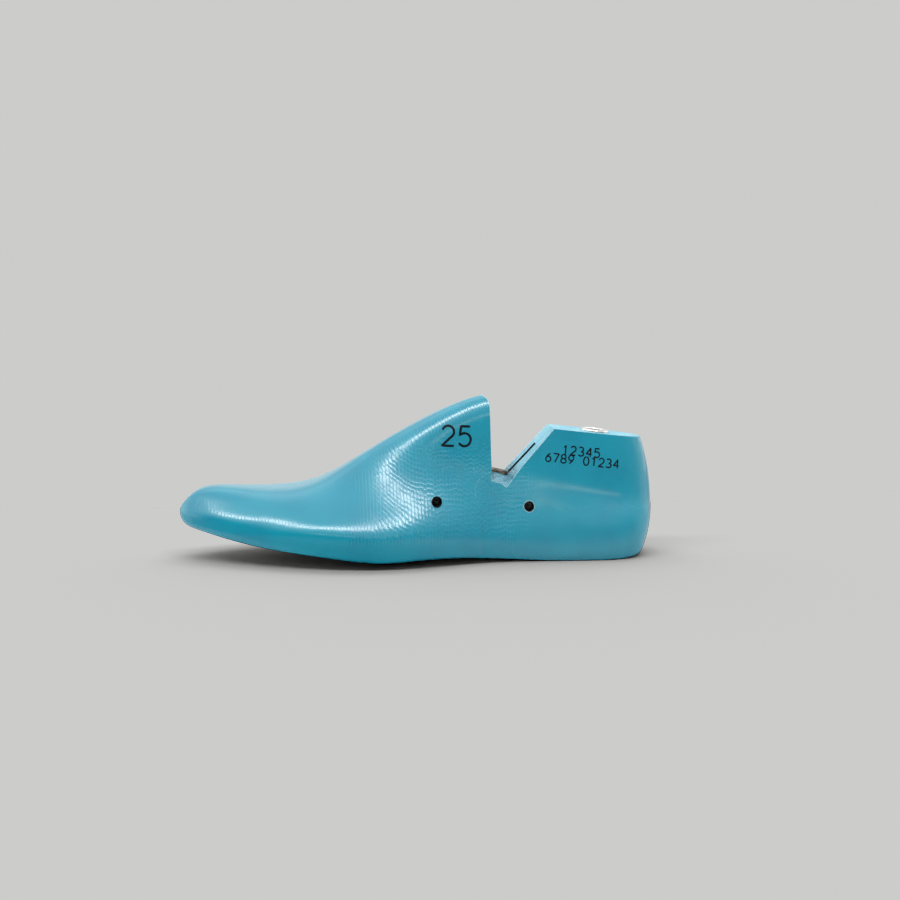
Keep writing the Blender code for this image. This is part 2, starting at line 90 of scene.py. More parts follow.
def formLines():
    # Each line is a row of (share of the length, value).
    f = form
    ballOut, ballIn, heel = f["ballOuter"], f["ballInner"], f["heelHalf"]
    waistOut, waistIn, cone = f["waistOuter"], f["waistInner"], last["coneHeight"]
    tip, inward, flat = f["toeTipHeight"], f["toeTipInward"], f["soleFlat"]
    lines = {
        "top": ((0, tip), (0.012, 0.0322), (0.044, 0.0384), (0.10, 0.0399), (0.21, 0.0392),
                (0.29, 0.0435), (0.38, 0.0567), (0.55, cone - 0.0080), (0.64, cone),
                (0.80, cone - 0.002), (1, cone - 0.010)),
        "sole": ((0, tip), (0.015, 0.0195), (0.046, 0.0167), (0.115, 0.0122), (0.21, 0.0074),
                 (0.31, 0.0032), (0.42, -flat), (0.50, 0.0008), (0.58, 0.0016), (0.67, 0.0012),
                 (0.75, 0.0003), (0.82, -flat), (1, -flat)),
        "spine": scaled(inward, (0, 1), (0.15, 0.84), (0.30, 0.42), (0.45, 0.08), (0.60, 0),
                        (1, 0)),
        "outerEdge": (*scaled(ballOut, (0, 0), (0.012, 0.19), (0.044, 0.36), (0.115, 0.59),
                              (0.21, 0.82), (0.31, 0.97), (0.37, 1), (0.46, 0.955)),
                      (0.56, 0.44 * ballOut + 0.55 * waistOut), (0.67, waistOut),
                      *scaled(heel, (0.76, 1), (0.85, 1), (0.92, 0.98), (0.97, 0.79), (1, 0))),
        "innerEdge": (*scaled(ballIn, (0, 0), (0.012, 0.17), (0.044, 0.33), (0.115, 0.58),
                              (0.21, 0.85), (0.28, 0.97), (0.34, 1), (0.46, 0.83)),
                      (0.56, 0.3 * ballIn + 0.58 * waistIn), (0.66, waistIn),
                      *scaled(heel, (0.76, 0.93), (0.85, 1), (0.92, 0.98), (0.97, 0.79), (1, 0))),
        "outerLift": ((0, 0), (0.05, 0.0010), (0.21, 0.0022), (0.40, 0.0050), (0.50, 0.0046),
                      (0.60, 0.0022), (0.70, 0.0006), (0.85, 0.0004), (1, 0.0004)),
        "innerLift": ((0, 0), (0.05, 0.0010), (0.21, 0.0016), (0.40, 0.0026), (0.50, 0.0058),
                      (0.60, 0.0080), (0.72, 0.0050), (0.85, 0.0006), (1, 0.0005)),
    }
    wide = (0, 0.115, 0.25, 0.38, 0.50, 0.64, 0.80, 1)
    high = (0, 0.05, *wide[1:])
    fine = (0, 0.115, 0.25, 0.38, 0.50, 0.60, 0.67, 0.77, 0.88, 1)
    level = (0, *fine[3:])
    for name, shares, values in (
        ("crest", wide, (0.28, 0.34, 0.34, 0.15, 0.16, 0.20, 0.21, 0.21)),
        ("shoulder", wide, (0.58, 0.575, 0.56, 0.29, 0.36, 0.45, 0.46, 0.46)),
        ("flank", fine, (0.80, 0.80, 0.76, 0.545, 0.485, 0.475, 0.475, 0.525, 0.575, 0.58)),
        ("flankLevel", level, (0.54, 0.54, 0.54, 0.53, 0.50, 0.415, 0.305, 0.25)),
        ("hip", fine, (0.99, 0.985, 0.90, 0.785, 0.705, 0.69, 0.685, 0.74, 0.785, 0.79)),
        ("hipLevel", level, (0.26, 0.26, 0.26, 0.275, 0.27, 0.225, 0.155, 0.12)),
        ("girth", wide, (1.00, 1.01, 1.01, 1.00, 0.985, 0.94, 0.955, 0.955)),
        ("girthUp", high, (0.0020, 0.0040, 0.0060, 0.0132, 0.0162, 0.0185, 0.0195, 0.0200, 0.0200)),
        ("wallUp", high, (0.0010, 0.0025, 0.0040, 0.0078, 0.0102, 0.0105, 0.0105, 0.0100, 0.0100)),
        ("tuckUp", high, (0.0004, 0.0010, 0.0012, 0.0030, 0.0042, 0.0046, 0.0042, 0.0036, 0.0036)),
    ):
        lines[name] = tuple(zip(shares, values))
    return lines


def stationOf(share):
    return math.acos(1 - 2 * share) / math.pi


class SmoothCurve:
    # A cubic spline with free ends; a call takes an array of stations.
    def __init__(self, points):
        self.at = np.array([stationOf(share) for share, value in points])
        self.value = np.array([value for share, value in points])
        count = len(points)
        step = np.diff(self.at)
        rise = np.diff(self.value) / step
        rows = np.eye(count)
        right = np.zeros(count)
        for i in range(1, count - 1):
            rows[i, i - 1:i + 2] = step[i - 1], 2 * (step[i - 1] + step[i]), step[i]
            right[i] = 6 * (rise[i] - rise[i - 1])
        self.bend = np.linalg.solve(rows, right)

    def __call__(self, station):
        i = np.clip(np.searchsorted(self.at, station) - 1, 0, len(self.at) - 2)
        step = self.at[i + 1] - self.at[i]
        a = (self.at[i + 1] - station) / step
        b = 1 - a
        line = a * self.value[i] + b * self.value[i + 1]
        curve = (a ** 3 - a) * self.bend[i] + (b ** 3 - b) * self.bend[i + 1]
        return line + curve * step ** 2 / 6


curves = {name: SmoothCurve(points) for name, points in formLines().items()}


def halfSection(station, side):
    # Control points of one side at every station, from the crest to the middle of the sole.
    top, sole, middle = curves["top"](station), curves["sole"](station), curves["spine"](station)
    edge = curves["outerEdge" if side < 0 else "innerEdge"](station)
    edgeZ = sole + curves["outerLift" if side < 0 else "innerLift"](station)
    girthZ, wallZ, tuckZ = (edgeZ + curves[name](station)
                            for name in ("girthUp", "wallUp", "tuckUp"))
    rows = [(0 * top, top), (curves["crest"](station) * edge, top)]
    levels = (form["shoulderLevel"], curves["flankLevel"](station), curves["hipLevel"](station))
    for name, level in zip(("shoulder", "flank", "hip"), levels):
        rows.append((curves[name](station) * edge, girthZ + level * (top - girthZ)))
    rows += [
        (curves["girth"](station) * edge, girthZ),
        (form["wallShare"] * edge, wallZ),
        (form["tuckShare"] * edge, tuckZ),
        (form["edgeShare"] * edge, edgeZ),
        (form["underShare"] * edge, sole + form["underLift"] * (edgeZ - sole)),
        (form["soleFlatShare"] * edge, sole),
        (0 * top, sole),
    ]
    return [np.stack((middle + side * y, z), axis=-1) for y, z in rows]


def heelShift(z):
    # How far the back of the heel lies ahead of its furthest point.
    curve = np.where(z < form["bulgeHeight"], form["seatCurve"], form["heelCurve"])
    shift = (z - form["bulgeHeight"]) ** 2 / (2 * curve)
    radius = form["seatRound"]
    below = np.clip(radius - z, 0, radius)
    return shift + radius - np.sqrt(radius ** 2 - below ** 2)


def sectionRings(station):
    # (stations, points round the section, xyz)
    outer, inner = halfSection(station, -1), halfSection(station, 1)
    control = np.stack(outer[:-1] + inner[:0:-1], axis=1)
    steps = form["aroundSteps"]
    t = np.arange(steps) / steps
    weights = np.stack(((1 - t) ** 3, 3 * t ** 3 - 6 * t ** 2 + 4,
                        -3 * t ** 3 + 3 * t ** 2 + 3 * t + 1, t ** 3)) / 6
    spans = []
    for i in range(control.shape[1]):
        around = np.take(control, (i - 1, i, i + 1, i + 2), axis=1, mode="wrap")
        spans.append(np.einsum("kt,skc->stc", weights, around))
    ring = np.concatenate(spans, axis=1)
    share = (1 - np.cos(np.pi * station)) / 2
    lean = np.clip((share - form["leanStart"]) / (1 - form["leanStart"]), 0, None)
    lean = lean * lean * (3 - 2 * lean)
    z = np.maximum(ring[..., 1], 0)
    back, wide, high = form["within"]
    x = toeX + (share * (last["length"] - back))[:, None] - lean[:, None] * heelShift(z)
    return np.stack((x, ring[..., 0] * wide, z * high), axis=-1)


def bridge(build, loops):
    for ahead, behind in zip(loops, loops[1:]):
        for k in range(len(ahead)):
            after = (k + 1) % len(ahead)
            build.faces.new((ahead[k], ahead[after], behind[after], behind[k]))


def tube(build, loops):
    bridge(build, loops)
    build.faces.new(loops[0])
    build.faces.new(loops[-1][::-1])


def turnedForm(fromX, toX):
    # The uncut form between two places along its length, closed at both ends.
    count = form["rings"]
    station = np.arange(1, count + 1) / count
    share = (1 - np.cos(np.pi * station)) / 2
    x = toeX + share * last["length"]
    station = station[(x >= fromX) & (x <= toX)]
    rings = sectionRings(station)
    around = rings.shape[1]
    build = bmesh.new()
    loops = [[build.verts.new(point) for point in ring] for ring in rings]
    if fromX <= toeX:
        tip = build.verts.new((toeX, form["toeTipInward"], form["toeTipHeight"]))
        for k in range(around):
            build.faces.new((tip, loops[0][(k + 1) % around], loops[0][k]))
    else:
        build.faces.new(loops[0][::-1])
    if station[-1] == 1:
        closing = loops[-1]
        for k in range(around // 2 + 1, around):
            build.verts.remove(closing[k])
            closing[k] = closing[around - k]
    else:
        build.faces.new(loops[-1])
    bridge(build, loops)
    if station[-1] == 1:
        bmesh.ops.remove_doubles(build, verts=loops[-1][:around // 2 + 1], dist=0.00001)
    bmesh.ops.recalc_face_normals(build, faces=build.faces)
    return build


# The V, the knuckle's socket, the saw slot and the bores
joint = {
    "knuckle": 0.0104,
    "gap": 0.00003,         # between the two plastic parts as they're seen
    "socketStart": math.radians(96.6),
    "socketEnd": math.radians(227.4),
    "arcStep": math.radians(1.5),
    "faceAhead": 0.0006,
    "topAhead": 0.0012,
    "cornerRun": 0.0060,
    "cornerDrop": 0.0052,
    "cornerSteps": 16,
    # heights and places in the V, at its outer side, along its middle and at its inner side
    "floorFrontAbove": (0.0040, 0.0089, 0.0055),
    "floorMiddleBack": 0.0037,
    "floorMiddleAbove": (0.0029, 0.0083, 0.0045),
    "footBack": (0.0066, 0.0086, 0.0066),
    "footAbove": (0.0004, 0.0063, 0.0020),
    "floorSideHalf": 0.0250,
    "floorSteps": 12,
    "slotWidth": 0.0054,
    "sawFront": (0.0317, -0.0069, 0.0041),
    "sawHeel": (0.0300, 0.0011, 0.0061),
    "sawSides": 180,
    "bore": 0.0058,
    "frontPin": (-0.0317, -0.0034),
    "rearPin": (0.0192, -0.0079),
    "boreSides": 64,
    "beyond": 0.060,        # how far the cutters reach past the last
    "forepartPast": 0.006,  # how far each blank runs past the hinge before it's cut
    "heelPast": 0.014,
}


def fromHinge(x, z):
    return hinge + Vector((x, 0, z))


frontPinAt = fromHinge(*joint["frontPin"])
rearPinAt = fromHinge(*joint["rearPin"])


def arc(centre, radius, start, end, step):
    count = max(2, round(abs(end - start) / step))
    turn = (end - start) / count
    angles = [start + turn * i for i in range(count + 1)]
    return [(centre.x + radius * math.cos(a), centre.z + radius * math.sin(a)) for a in angles]


def plateThrough(sections):
    build = bmesh.new()
    loops = [[build.verts.new((x, y, z)) for x, z in outline] for y, outline in sections]
    for near, far in zip(loops, loops[1:]):
        for k in range(len(near)):
            build.faces.new((near[k - 1], near[k], far[k], far[k - 1]))
    build.faces.new(loops[0])
    build.faces.new(loops[-1][::-1])
    bmesh.ops.recalc_face_normals(build, faces=build.faces)
    return build


def rod(radius, length, sides, place):
    build = bmesh.new()
    bmesh.ops.create_cone(build, cap_ends=True, segments=sides, radius1=radius, radius2=radius,
                          depth=length, matrix=place)
    return build


def lyingAcross(at):
    return Matrix.Translation(at) @ Matrix.Rotation(math.pi / 2, 4, "X")


def crossRod(at, diameter, length, sides):
    return rod(diameter / 2, length, sides, lyingAcross(at))


def forepartWaste():
    radius, beyond = joint["knuckle"] + joint["gap"], joint["beyond"]
    start = math.acos(-joint["faceAhead"] / radius)
    socket = arc(hinge, radius, start, joint["socketEnd"], joint["arcStep"])
    right, high = beyond - toeX, last["coneHeight"] + beyond
    corner = []
    for i in range(joint["cornerSteps"] + 1):
        angle = math.pi / 2 * (1 - i / joint["cornerSteps"])
        corner.append((hinge.x - joint["topAhead"] - joint["cornerRun"] * (1 - math.cos(angle)),
                       last["coneHeight"] - joint["cornerDrop"] * (1 - math.sin(angle))))
    return ([(corner[0][0], high)] + corner + socket
            + [(socket[-1][0], -beyond), (right, -beyond), (right, high)])


def heelWaste(share):
    # share is 0 at the outer side of the last, 1 along its middle and 2 at its inner side
    beyond = joint["beyond"]
    knuckle = arc(hinge, joint["knuckle"], joint["socketEnd"], joint["socketStart"],
                  joint["arcStep"])
    jointX, endX = knuckle[0][0] + joint["gap"], toeX - beyond
    heelEnd = inclineTop + heelTopRun * last["length"]
    high = last["coneHeight"] + beyond
    front, middle, back, foot = (np.interp(share, (0, 1, 2), joint[key]) for key in
                                 ("floorFrontAbove", "floorMiddleAbove", "footBack", "footAbove"))
    return [(endX, -beyond), (jointX, -beyond), (jointX, knuckle[0][1])] + knuckle[1:] + [
        (knuckle[-1][0], hinge.z + front),
        (hinge.x + joint["floorMiddleBack"], hinge.z + middle),
        (hinge.x + back, hinge.z + foot),
        (inclineTop.x, inclineTop.z),
        (heelEnd.x, heelEnd.z),
        (heelEnd.x, high),
        (endX, high),
    ]


def vCutter():
    crown, half, steps = joint["slotWidth"] / 2, joint["floorSideHalf"], joint["floorSteps"]
    shares = [i / steps for i in range(steps + 1)]
    outer = [(-half + (half - crown) * share, heelWaste(share)) for share in shares]
    inner = [(crown + (half - crown) * share, heelWaste(1 + share)) for share in shares]
    ends = (-last["length"], heelWaste(0)), (last["length"], heelWaste(2))
    return plateThrough([ends[0]] + outer + inner + [ends[1]])


def placed(name, data):
    item = bpy.data.objects.new(name, data)
    bpy.context.scene.collection.objects.link(item)
    return item


def meshObject(name, build, materials=()):
    mesh = bpy.data.meshes.new(name)
    build.normal_update()
    build.to_mesh(mesh)
    build.free()
    for material in materials:
        mesh.materials.append(material)
    return placed(name, mesh)


def cutWith(item, slot, *cutters):
    # Takes each cutter's solid off the piece; the faces that it leaves get the material slot.
    for build in cutters:
        for face in build.faces:
            face.material_index = slot
        cutter = meshObject("cutter", build, item.data.materials)
        step = item.modifiers.new("cut", "BOOLEAN")
        step.operation = "DIFFERENCE"
        step.solver = "EXACT"
        step.object = cutter
        graph = bpy.context.evaluated_depsgraph_get()
        done = bpy.data.meshes.new_from_object(item.evaluated_get(graph))
        item.modifiers.clear()
        item.data = done
        bpy.data.objects.remove(cutter)


def smoothWithCorners(item, angle=28):
    item.data.shade_smooth()
    item.data.set_sharp_from_angle(angle=math.radians(angle))


class Graph:
    # The nodes of one material or of the world, with short words for adding and joining them.
    def __init__(self, owner):
        owner.use_nodes = True
        self.owner = owner
        self.tree = owner.node_tree

    def node(self, kind, settings=None, **inputs):
        made = self.tree.nodes.new("ShaderNode" + kind)
        for key, value in (settings or {}).items():
            setattr(made, key, value)
        for key, value in inputs.items():
            numbered = key[0] == "i" and key[1:].isdigit()
            self.feed(made.inputs[int(key[1:]) if numbered else key], value)
        return made

    def feed(self, socket, value):
        if isinstance(value, bpy.types.NodeSocket):
            self.tree.links.new(value, socket)
        else:
            socket.default_value = value

    def maths(self, operation, a, b=0.0):
        return self.node("Math", {"operation": operation}, i0=a, i1=b).outputs[0]

    def millimetres(self):
        place = self.node("TexCoord").outputs["Object"]
        return self.node("VectorMath", {"operation": "MULTIPLY"}, i0=place,
                         i1=(1000, 1000, 1000)).outputs[0]

    def split(self, vector):
        return self.node("SeparateXYZ", i0=vector).outputs

    def joined(self, x, y, z):
        return self.node("CombineXYZ", i0=x, i1=y, i2=z).outputs[0]

    def stretched(self, vector, *shares):
        return self.node("Mapping", Vector=vector, Scale=shares).outputs[0]

    def noise(self, vector, scale, detail=2.0, rough=0.5):
        return self.node("TexNoise", Vector=vector, Scale=scale, Detail=detail,
                         Roughness=rough).outputs["Fac"]

    def ramp(self, value, low, high, toLow=0.0, toHigh=1.0):
        return self.node("MapRange", {"interpolation_type": "SMOOTHSTEP"}, i0=value, i1=low,
                         i2=high, i3=toLow, i4=toHigh).outputs["Result"]

    def mixColour(self, share, a, b):
        made = self.node("Mix", {"data_type": "RGBA"}, Factor=share)
        for socket, value in zip(made.inputs[6:8], (a, b)):
            self.feed(socket, value if isinstance(value, bpy.types.NodeSocket) else (*value, 1))
        return made.outputs[2]

    def times(self, *shares):
        whole = shares[0]
        for share in shares[1:]:
            whole = self.maths("MULTIPLY", whole, share)
        return whole

    def plus(self, *parts):
        whole = parts[0]
        for part in parts[1:]:
            whole = self.maths("ADD", whole, part)
        return whole

    def outward(self, x, y):
        # how far out from the axis that a turned piece was turned on
        return self.maths("SQRT", self.plus(self.times(x, x), self.times(y, y)))

    def edge(self, radius, sharp=0.80):
        # 1 on a sharp edge, falling to 0 beside it
        soft = self.node("Bevel", {"samples": 6}, Radius=radius).outputs[0]
        true = self.node("NewGeometry").outputs["Normal"]
        dot = self.node("VectorMath", {"operation": "DOT_PRODUCT"}, i0=soft, i1=true)
        return self.ramp(dot.outputs["Value"], sharp, 0.997, 1, 0)

    def cusps(self, along, pitch):
        # 0 along the middle of each cut and 1 on the ridge between two
        turn = self.maths("FRACT", self.maths("DIVIDE", along, pitch))
        part = self.maths("SUBTRACT", turn, 0.5)
        return self.times(part, part, 4.0)

    def bump(self, height, soft=0.0):
        # height in millimetres; soft rounds the corners that the bumps lie on
        made = self.node("Bump", Height=height, Distance=0.001)
        if soft:
            bevel = self.node("Bevel", {"samples": 4}, Radius=soft)
            self.feed(made.inputs["Normal"], bevel.outputs[0])
        return made.outputs["Normal"]

    def finish(self, colour, roughness, normal=None, **others):
        shader = self.tree.nodes["Principled BSDF"]
        self.feed(shader.inputs["Base Color"], colour)
        self.feed(shader.inputs["Roughness"], roughness)
        if normal:
            self.feed(shader.inputs["Normal"], normal)
        for key, value in others.items():
            shader.inputs[key.replace("_", " ")].default_value = value
        return self.owner


def look(name):
    # A new material's graph, and the place on the piece in millimetres
    g = Graph(bpy.data.materials.new(name))
    return g, g.millimetres()


# Lengths in the looks are in millimetres, apart from those of edges, which are in metres
plastic = {
    "colour": (0.004, 0.285, 0.405),
    "deepAndShaded": (0.002, 0.245, 0.365),      # where the pigment lies thicker, and painted shade on the tool rows' ridges
    "worn": (0.22, 0.56, 0.66),         # along rubbed edges
    "scuff": (0.10, 0.42, 0.52),
    "roughness": (0.155, 0.215),
    "torn": 0.22,                       # rougher on the tool marks' ridges
    "dullSeat": 0.16,                   # rougher low on the heel, where hands and shelves rub it
    "mirror": 0.8,                      # specular level
    "ringPitch": 1.8,                   # between the turning tool's rings
    "ringDepth": 0.052,
    "rowPitch": 2.5,                    # between the tool's strokes up the side
    "rowDepth": 0.064,
    "rowCentre": (11, 68),              # ahead of this place in the side view the rows bow upwards
    "rowBow": 36,
    "edge": 0.0006,
}


def turnedPlastic():
    p = plastic
    g, mm = look("turnedPlastic")
    x, _, z = g.split(mm)
    up = g.split(g.node("TexCoord").outputs["Normal"])[2]
    rings = g.plus(x, g.times(g.noise(mm, 0.05), 0.9))
    ring = g.maths("FLOOR", g.maths("DIVIDE", rings, p["ringPitch"]))
    own = g.node("TexWhiteNoise", {"noise_dimensions": "1D"}, W=ring).outputs["Value"]
    ahead = g.maths("MAXIMUM", g.maths("SUBTRACT", p["rowCentre"][0], x), 0.0)
    below = g.maths("SUBTRACT", p["rowCentre"][1], z)
    bow = g.maths("DIVIDE", g.times(ahead, ahead), 2 * p["rowBow"])
    rows = g.plus(below, bow, g.times(g.noise(mm, 0.16), 2.4),
                  g.times(own, g.ramp(x, -15, 25, 0.5, 1.5)))
    # where the marks show: on the sides, strongest over the instep
    sides = g.times(g.ramp(up, 0.62, 0.82, 1, 0), g.ramp(up, -0.32, -0.08))
    instep = g.times(g.ramp(x, -36, -16), g.ramp(x, 52, 88, 1, 0), g.ramp(z, 56, 72, 1, 0))
    crest = g.times(g.ramp(z, 58, 72), g.ramp(x, -20, 0), g.ramp(up, 0.35, 0.50))
    vamp = g.times(g.ramp(x, -58, -34), g.ramp(x, 0, 20, 1, 0), g.ramp(z, 44, 58, 1, 0))
    ringed = g.times(g.maths("MAXIMUM", instep, vamp), g.ramp(z, 8, 26, 0.35, 1),
                     g.ramp(x, 2, 30, 0.84, 0.30))
    toe = g.ramp(x, -60, -30, 1, 0)
    ringShow = g.times(sides, g.plus(0.13, ringed, g.times(toe, 0.05), g.times(crest, 0.5)))
    lean = g.plus(up, g.ramp(x, -112, -55, 0.07, 0))          # the streak runs lower at the tip
    streak = g.times(toe, g.ramp(lean, 0.45, 0.52), g.ramp(lean, 0.61, 0.69, 1, 0))
    ridgeShow = g.times(sides, g.plus(0.10, ringed, streak, g.times(crest, 0.8)))
    patchy = g.ramp(g.noise(mm, 0.22, 3), 0.35, 0.62, 0.35, 1.1)
    rowShow = g.times(sides, instep, g.ramp(z, 12, 20), g.ramp(x, -10, 25, 1.0, 1.4),
                      g.ramp(x, 46, 70, 1, 0), patchy)
    ringCusps, rowCusps = g.cusps(rings, p["ringPitch"]), g.cusps(rows, p["rowPitch"])
    height = g.plus(
        g.times(ringCusps, ringShow, p["ringDepth"]),
        g.times(rowCusps, rowShow, p["rowDepth"]),
        g.times(g.noise(mm, 0.035), 0.16),
        g.times(g.noise(mm, 1.6, 3), 0.005),
    )
    edges = g.times(g.edge(p["edge"]), g.ramp(g.noise(mm, 0.9, 3), 0.35, 0.62),
                    g.ramp(z, 28, 40, 0.15, 1))
    scuffs = g.times(g.ramp(g.noise(g.stretched(mm, 0.35, 0.35, 1.7), 0.55, 4, 0.62), 0.66, 0.74),
                     g.ramp(g.noise(mm, 0.03), 0.50, 0.64))
    tone = g.mixColour(g.ramp(g.noise(mm, 0.045, 3), 0.30, 0.72), p["colour"], p["deepAndShaded"])
    # painted shade along the tool rows' ridges, where their flanks turn from the light
    tone = g.mixColour(g.times(rowCusps, rowShow, 0.35), tone, p["deepAndShaded"])
    tone = g.mixColour(g.times(scuffs, 0.45), tone, p["scuff"])
    tone = g.mixColour(g.times(edges, 0.75), tone, p["worn"])
    smear = g.ramp(g.noise(mm, 0.09, 4), 0.3, 0.75, *p["roughness"])
    torn = g.maths("MAXIMUM", g.times(g.ramp(ringCusps, 0.3, 0.9), ridgeShow),
                   g.times(g.ramp(rowCusps, 0.3, 0.9), rowShow))
    seat = g.times(g.ramp(x, 36, 60), g.ramp(z, 25, 33, 1, 0), p["dullSeat"])
    rough = g.plus(smear, g.times(torn, p["torn"]), g.times(scuffs, 0.12),
                   g.times(edges, 0.10), seat)
    return g.finish(colour=tone, roughness=rough, normal=g.bump(height),
                    Specular_IOR_Level=p["mirror"])


cutPlastic = {
    "colour": (0.23, 0.53, 0.64),
    "dull": (0.15, 0.44, 0.57),
    "pale": (0.55, 0.75, 0.80),
    "deepAndShaded": (0.006, 0.12, 0.18),         # painted shade at the bottom of the V
    "deepTo": (47.0, 52.0),
    "roughness": (0.42, 0.60),
    "sawPitch": 1.1,
    "sawDepth": 0.020,
    "edge": 0.0003,
    "softEdge": 0.0005,
}


def sawnPlastic():
    p = cutPlastic
    g, mm = look("sawnPlastic")
    x, _, z = g.split(mm)
    saw = g.cusps(g.plus(g.times(x, 0.72), g.times(z, 0.69), g.times(g.noise(mm, 0.2), 0.9)),
                  p["sawPitch"])
    height = g.plus(g.times(saw, p["sawDepth"]), g.times(g.noise(mm, 0.30, 3), 0.10),
                    g.times(g.noise(mm, 2.2, 3), 0.03))
    edges = g.times(g.edge(p["edge"]), g.ramp(g.noise(mm, 0.7, 3), 0.38, 0.60))
    speck = g.ramp(g.noise(mm, 1.3, 3, 0.6), 0.56, 0.70)
    tone = g.mixColour(g.ramp(g.noise(mm, 0.12, 4), 0.32, 0.68), p["colour"], p["dull"])
    tone = g.mixColour(g.times(speck, 0.40), tone, p["pale"])
    tone = g.mixColour(g.times(saw, 0.18), tone, p["dull"])
    smeared = g.stretched(mm, 0.5, 0.12, 1.6)
    low = g.ramp(z, *p["deepTo"], 1, 0)
    # painted shade, darker and streaky low in the V
    bottom = g.times(low, g.ramp(g.noise(smeared, 0.9, 4, 0.6), 0.40, 0.58, 1.0, 0.35))
    tone = g.mixColour(bottom, tone, p["deepAndShaded"])
    torn = g.times(low, g.ramp(g.noise(smeared, 2.4, 3, 0.5), 0.56, 0.62), 0.7)
    tone = g.mixColour(torn, tone, p["pale"])
    tone = g.mixColour(g.times(edges, 0.85), tone, p["pale"])
    rough = g.ramp(g.noise(mm, 0.4, 3), 0.3, 0.7, *p["roughness"])
    return g.finish(colour=tone, roughness=rough, normal=g.bump(height, soft=p["softEdge"]))


# Painted shade: near-black walls in the pin bores, the saw slots and the thimble's seat, where only
# shade falls
holeShadeColours = {
    "colour": (0.004, 0.030, 0.042),
    "paintedShade": (0.010, 0.010, 0.009),
    "roughness": (0.45, 0.75),
}


# A material of painted shade for the walls of holes and slots
def holeShadeBore():
    p = holeShadeColours
    g, mm = look("holeShadeBore")
    rings = g.cusps(g.split(mm)[1], 0.6)
    tone = g.mixColour(g.ramp(g.noise(mm, 0.5, 4), 0.35, 0.65), p["colour"], p["paintedShade"])
    rough = g.ramp(g.noise(mm, 0.8, 3), 0.3, 0.7, *p["roughness"])
    height = g.plus(g.times(rings, 0.02), g.times(g.noise(mm, 2.0, 3), 0.03))
    return g.finish(colour=tone, roughness=rough, normal=g.bump(height))


skin = turnedPlastic()
sawn = sawnPlastic()
holeShade = holeShadeBore()

# The two plastic parts
wide = last["length"]


def plasticPart(name, ends, parting, saw, pinAt, *others):
    # The form between two ends, parted, slotted by a round saw and bored for its pin
    piece = meshObject(name, turnedForm(*ends), (skin, sawn, holeShade))
    radius, sawX, sawZ = joint[saw]
    slot = crossRod(fromHinge(sawX, sawZ), 2 * radius, joint["slotWidth"], joint["sawSides"])
    cutWith(piece, 1, parting)
    # the walls that the saw slot and the bores leave get the painted shade
    cutWith(piece, 2, slot, crossRod(pinAt, joint["bore"], wide, joint["boreSides"]), *others)
    smoothWithCorners(piece)
    return piece


parting = plateThrough([(-wide, forepartWaste()), (wide, forepartWaste())])
forepart = plasticPart("forepart_shown", (toeX, hinge.x + joint["forepartPast"]), parting,
                       "sawFront", frontPinAt)
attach(forepart, "forepart")
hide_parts("forepart")
print("forepart made,", len(forepart.data.polygons), "faces")

thimble = {
    "outer": 0.0158,
    "inner": 0.0100,
    "length": 0.0460,
    "proud": 0.0012,
    "corner": 0.0007,       # round of the rim's outer edge
    "countersink": 0.0008,
    "foot": 0.0004,         # the chamfer round its lower end
    "behindIncline": 0.0245,
    "gap": 0.00004,
    "sides": 128,
    "bright": (0.86, 0.86, 0.85),
    "dull": (0.50, 0.49, 0.47),
    # painted shade inside the bore, darker further down
    "paintedShade": (0.010, 0.010, 0.010),
    "roughness": (0.18, 0.38),
}
thimbleTop = inclineTop + heelTopRun * thimble["behindIncline"]
downThimble = Matrix.Translation(thimbleTop) @ Matrix.Rotation(last["heelTopSlope"], 4, "Y")


def thimbleBore():
    depth = thimble["length"] - thimble["proud"] + thimble["gap"]
    middle = Matrix.Translation((0, 0, (joint["beyond"] - depth) / 2))
    return rod(thimble["outer"] / 2 + thimble["gap"], joint["beyond"] + depth, thimble["sides"],
               downThimble @ middle)


heel = plasticPart("heel_shown", (hinge.x - joint["heelPast"], wide), vCutter(), "sawHeel",
                   rearPinAt, thimbleBore())
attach(heel, "heel")
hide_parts("heel_part")
print("heel part made,", len(heel.data.polygons), "faces")


def turned(outline, sides, closed=True):
    # Spins an outline of (radius, height) points round Z.
    build = bmesh.new()
    verts = [build.verts.new((radius, 0, height)) for radius, height in outline]
    ends = verts[1:] + verts[:1] if closed else verts[1:]
    edges = [build.edges.new(pair) for pair in zip(verts, ends)]
    bmesh.ops.spin(build, geom=verts + edges, cent=(0, 0, 0), axis=(0, 0, 1), angle=2 * math.pi,
                   steps=sides, use_merge=True)
    bmesh.ops.remove_doubles(build, verts=build.verts, dist=0.000001)
    bmesh.ops.recalc_face_normals(build, faces=build.faces)
    return build


def quarter(x, y, radius, steps=6):
    # from straight up round to the right
    angles = [math.pi / 2 - math.pi / 2 * i / steps for i in range(steps + 1)]
    return [(x + radius * math.cos(a), y + radius * math.sin(a)) for a in angles]


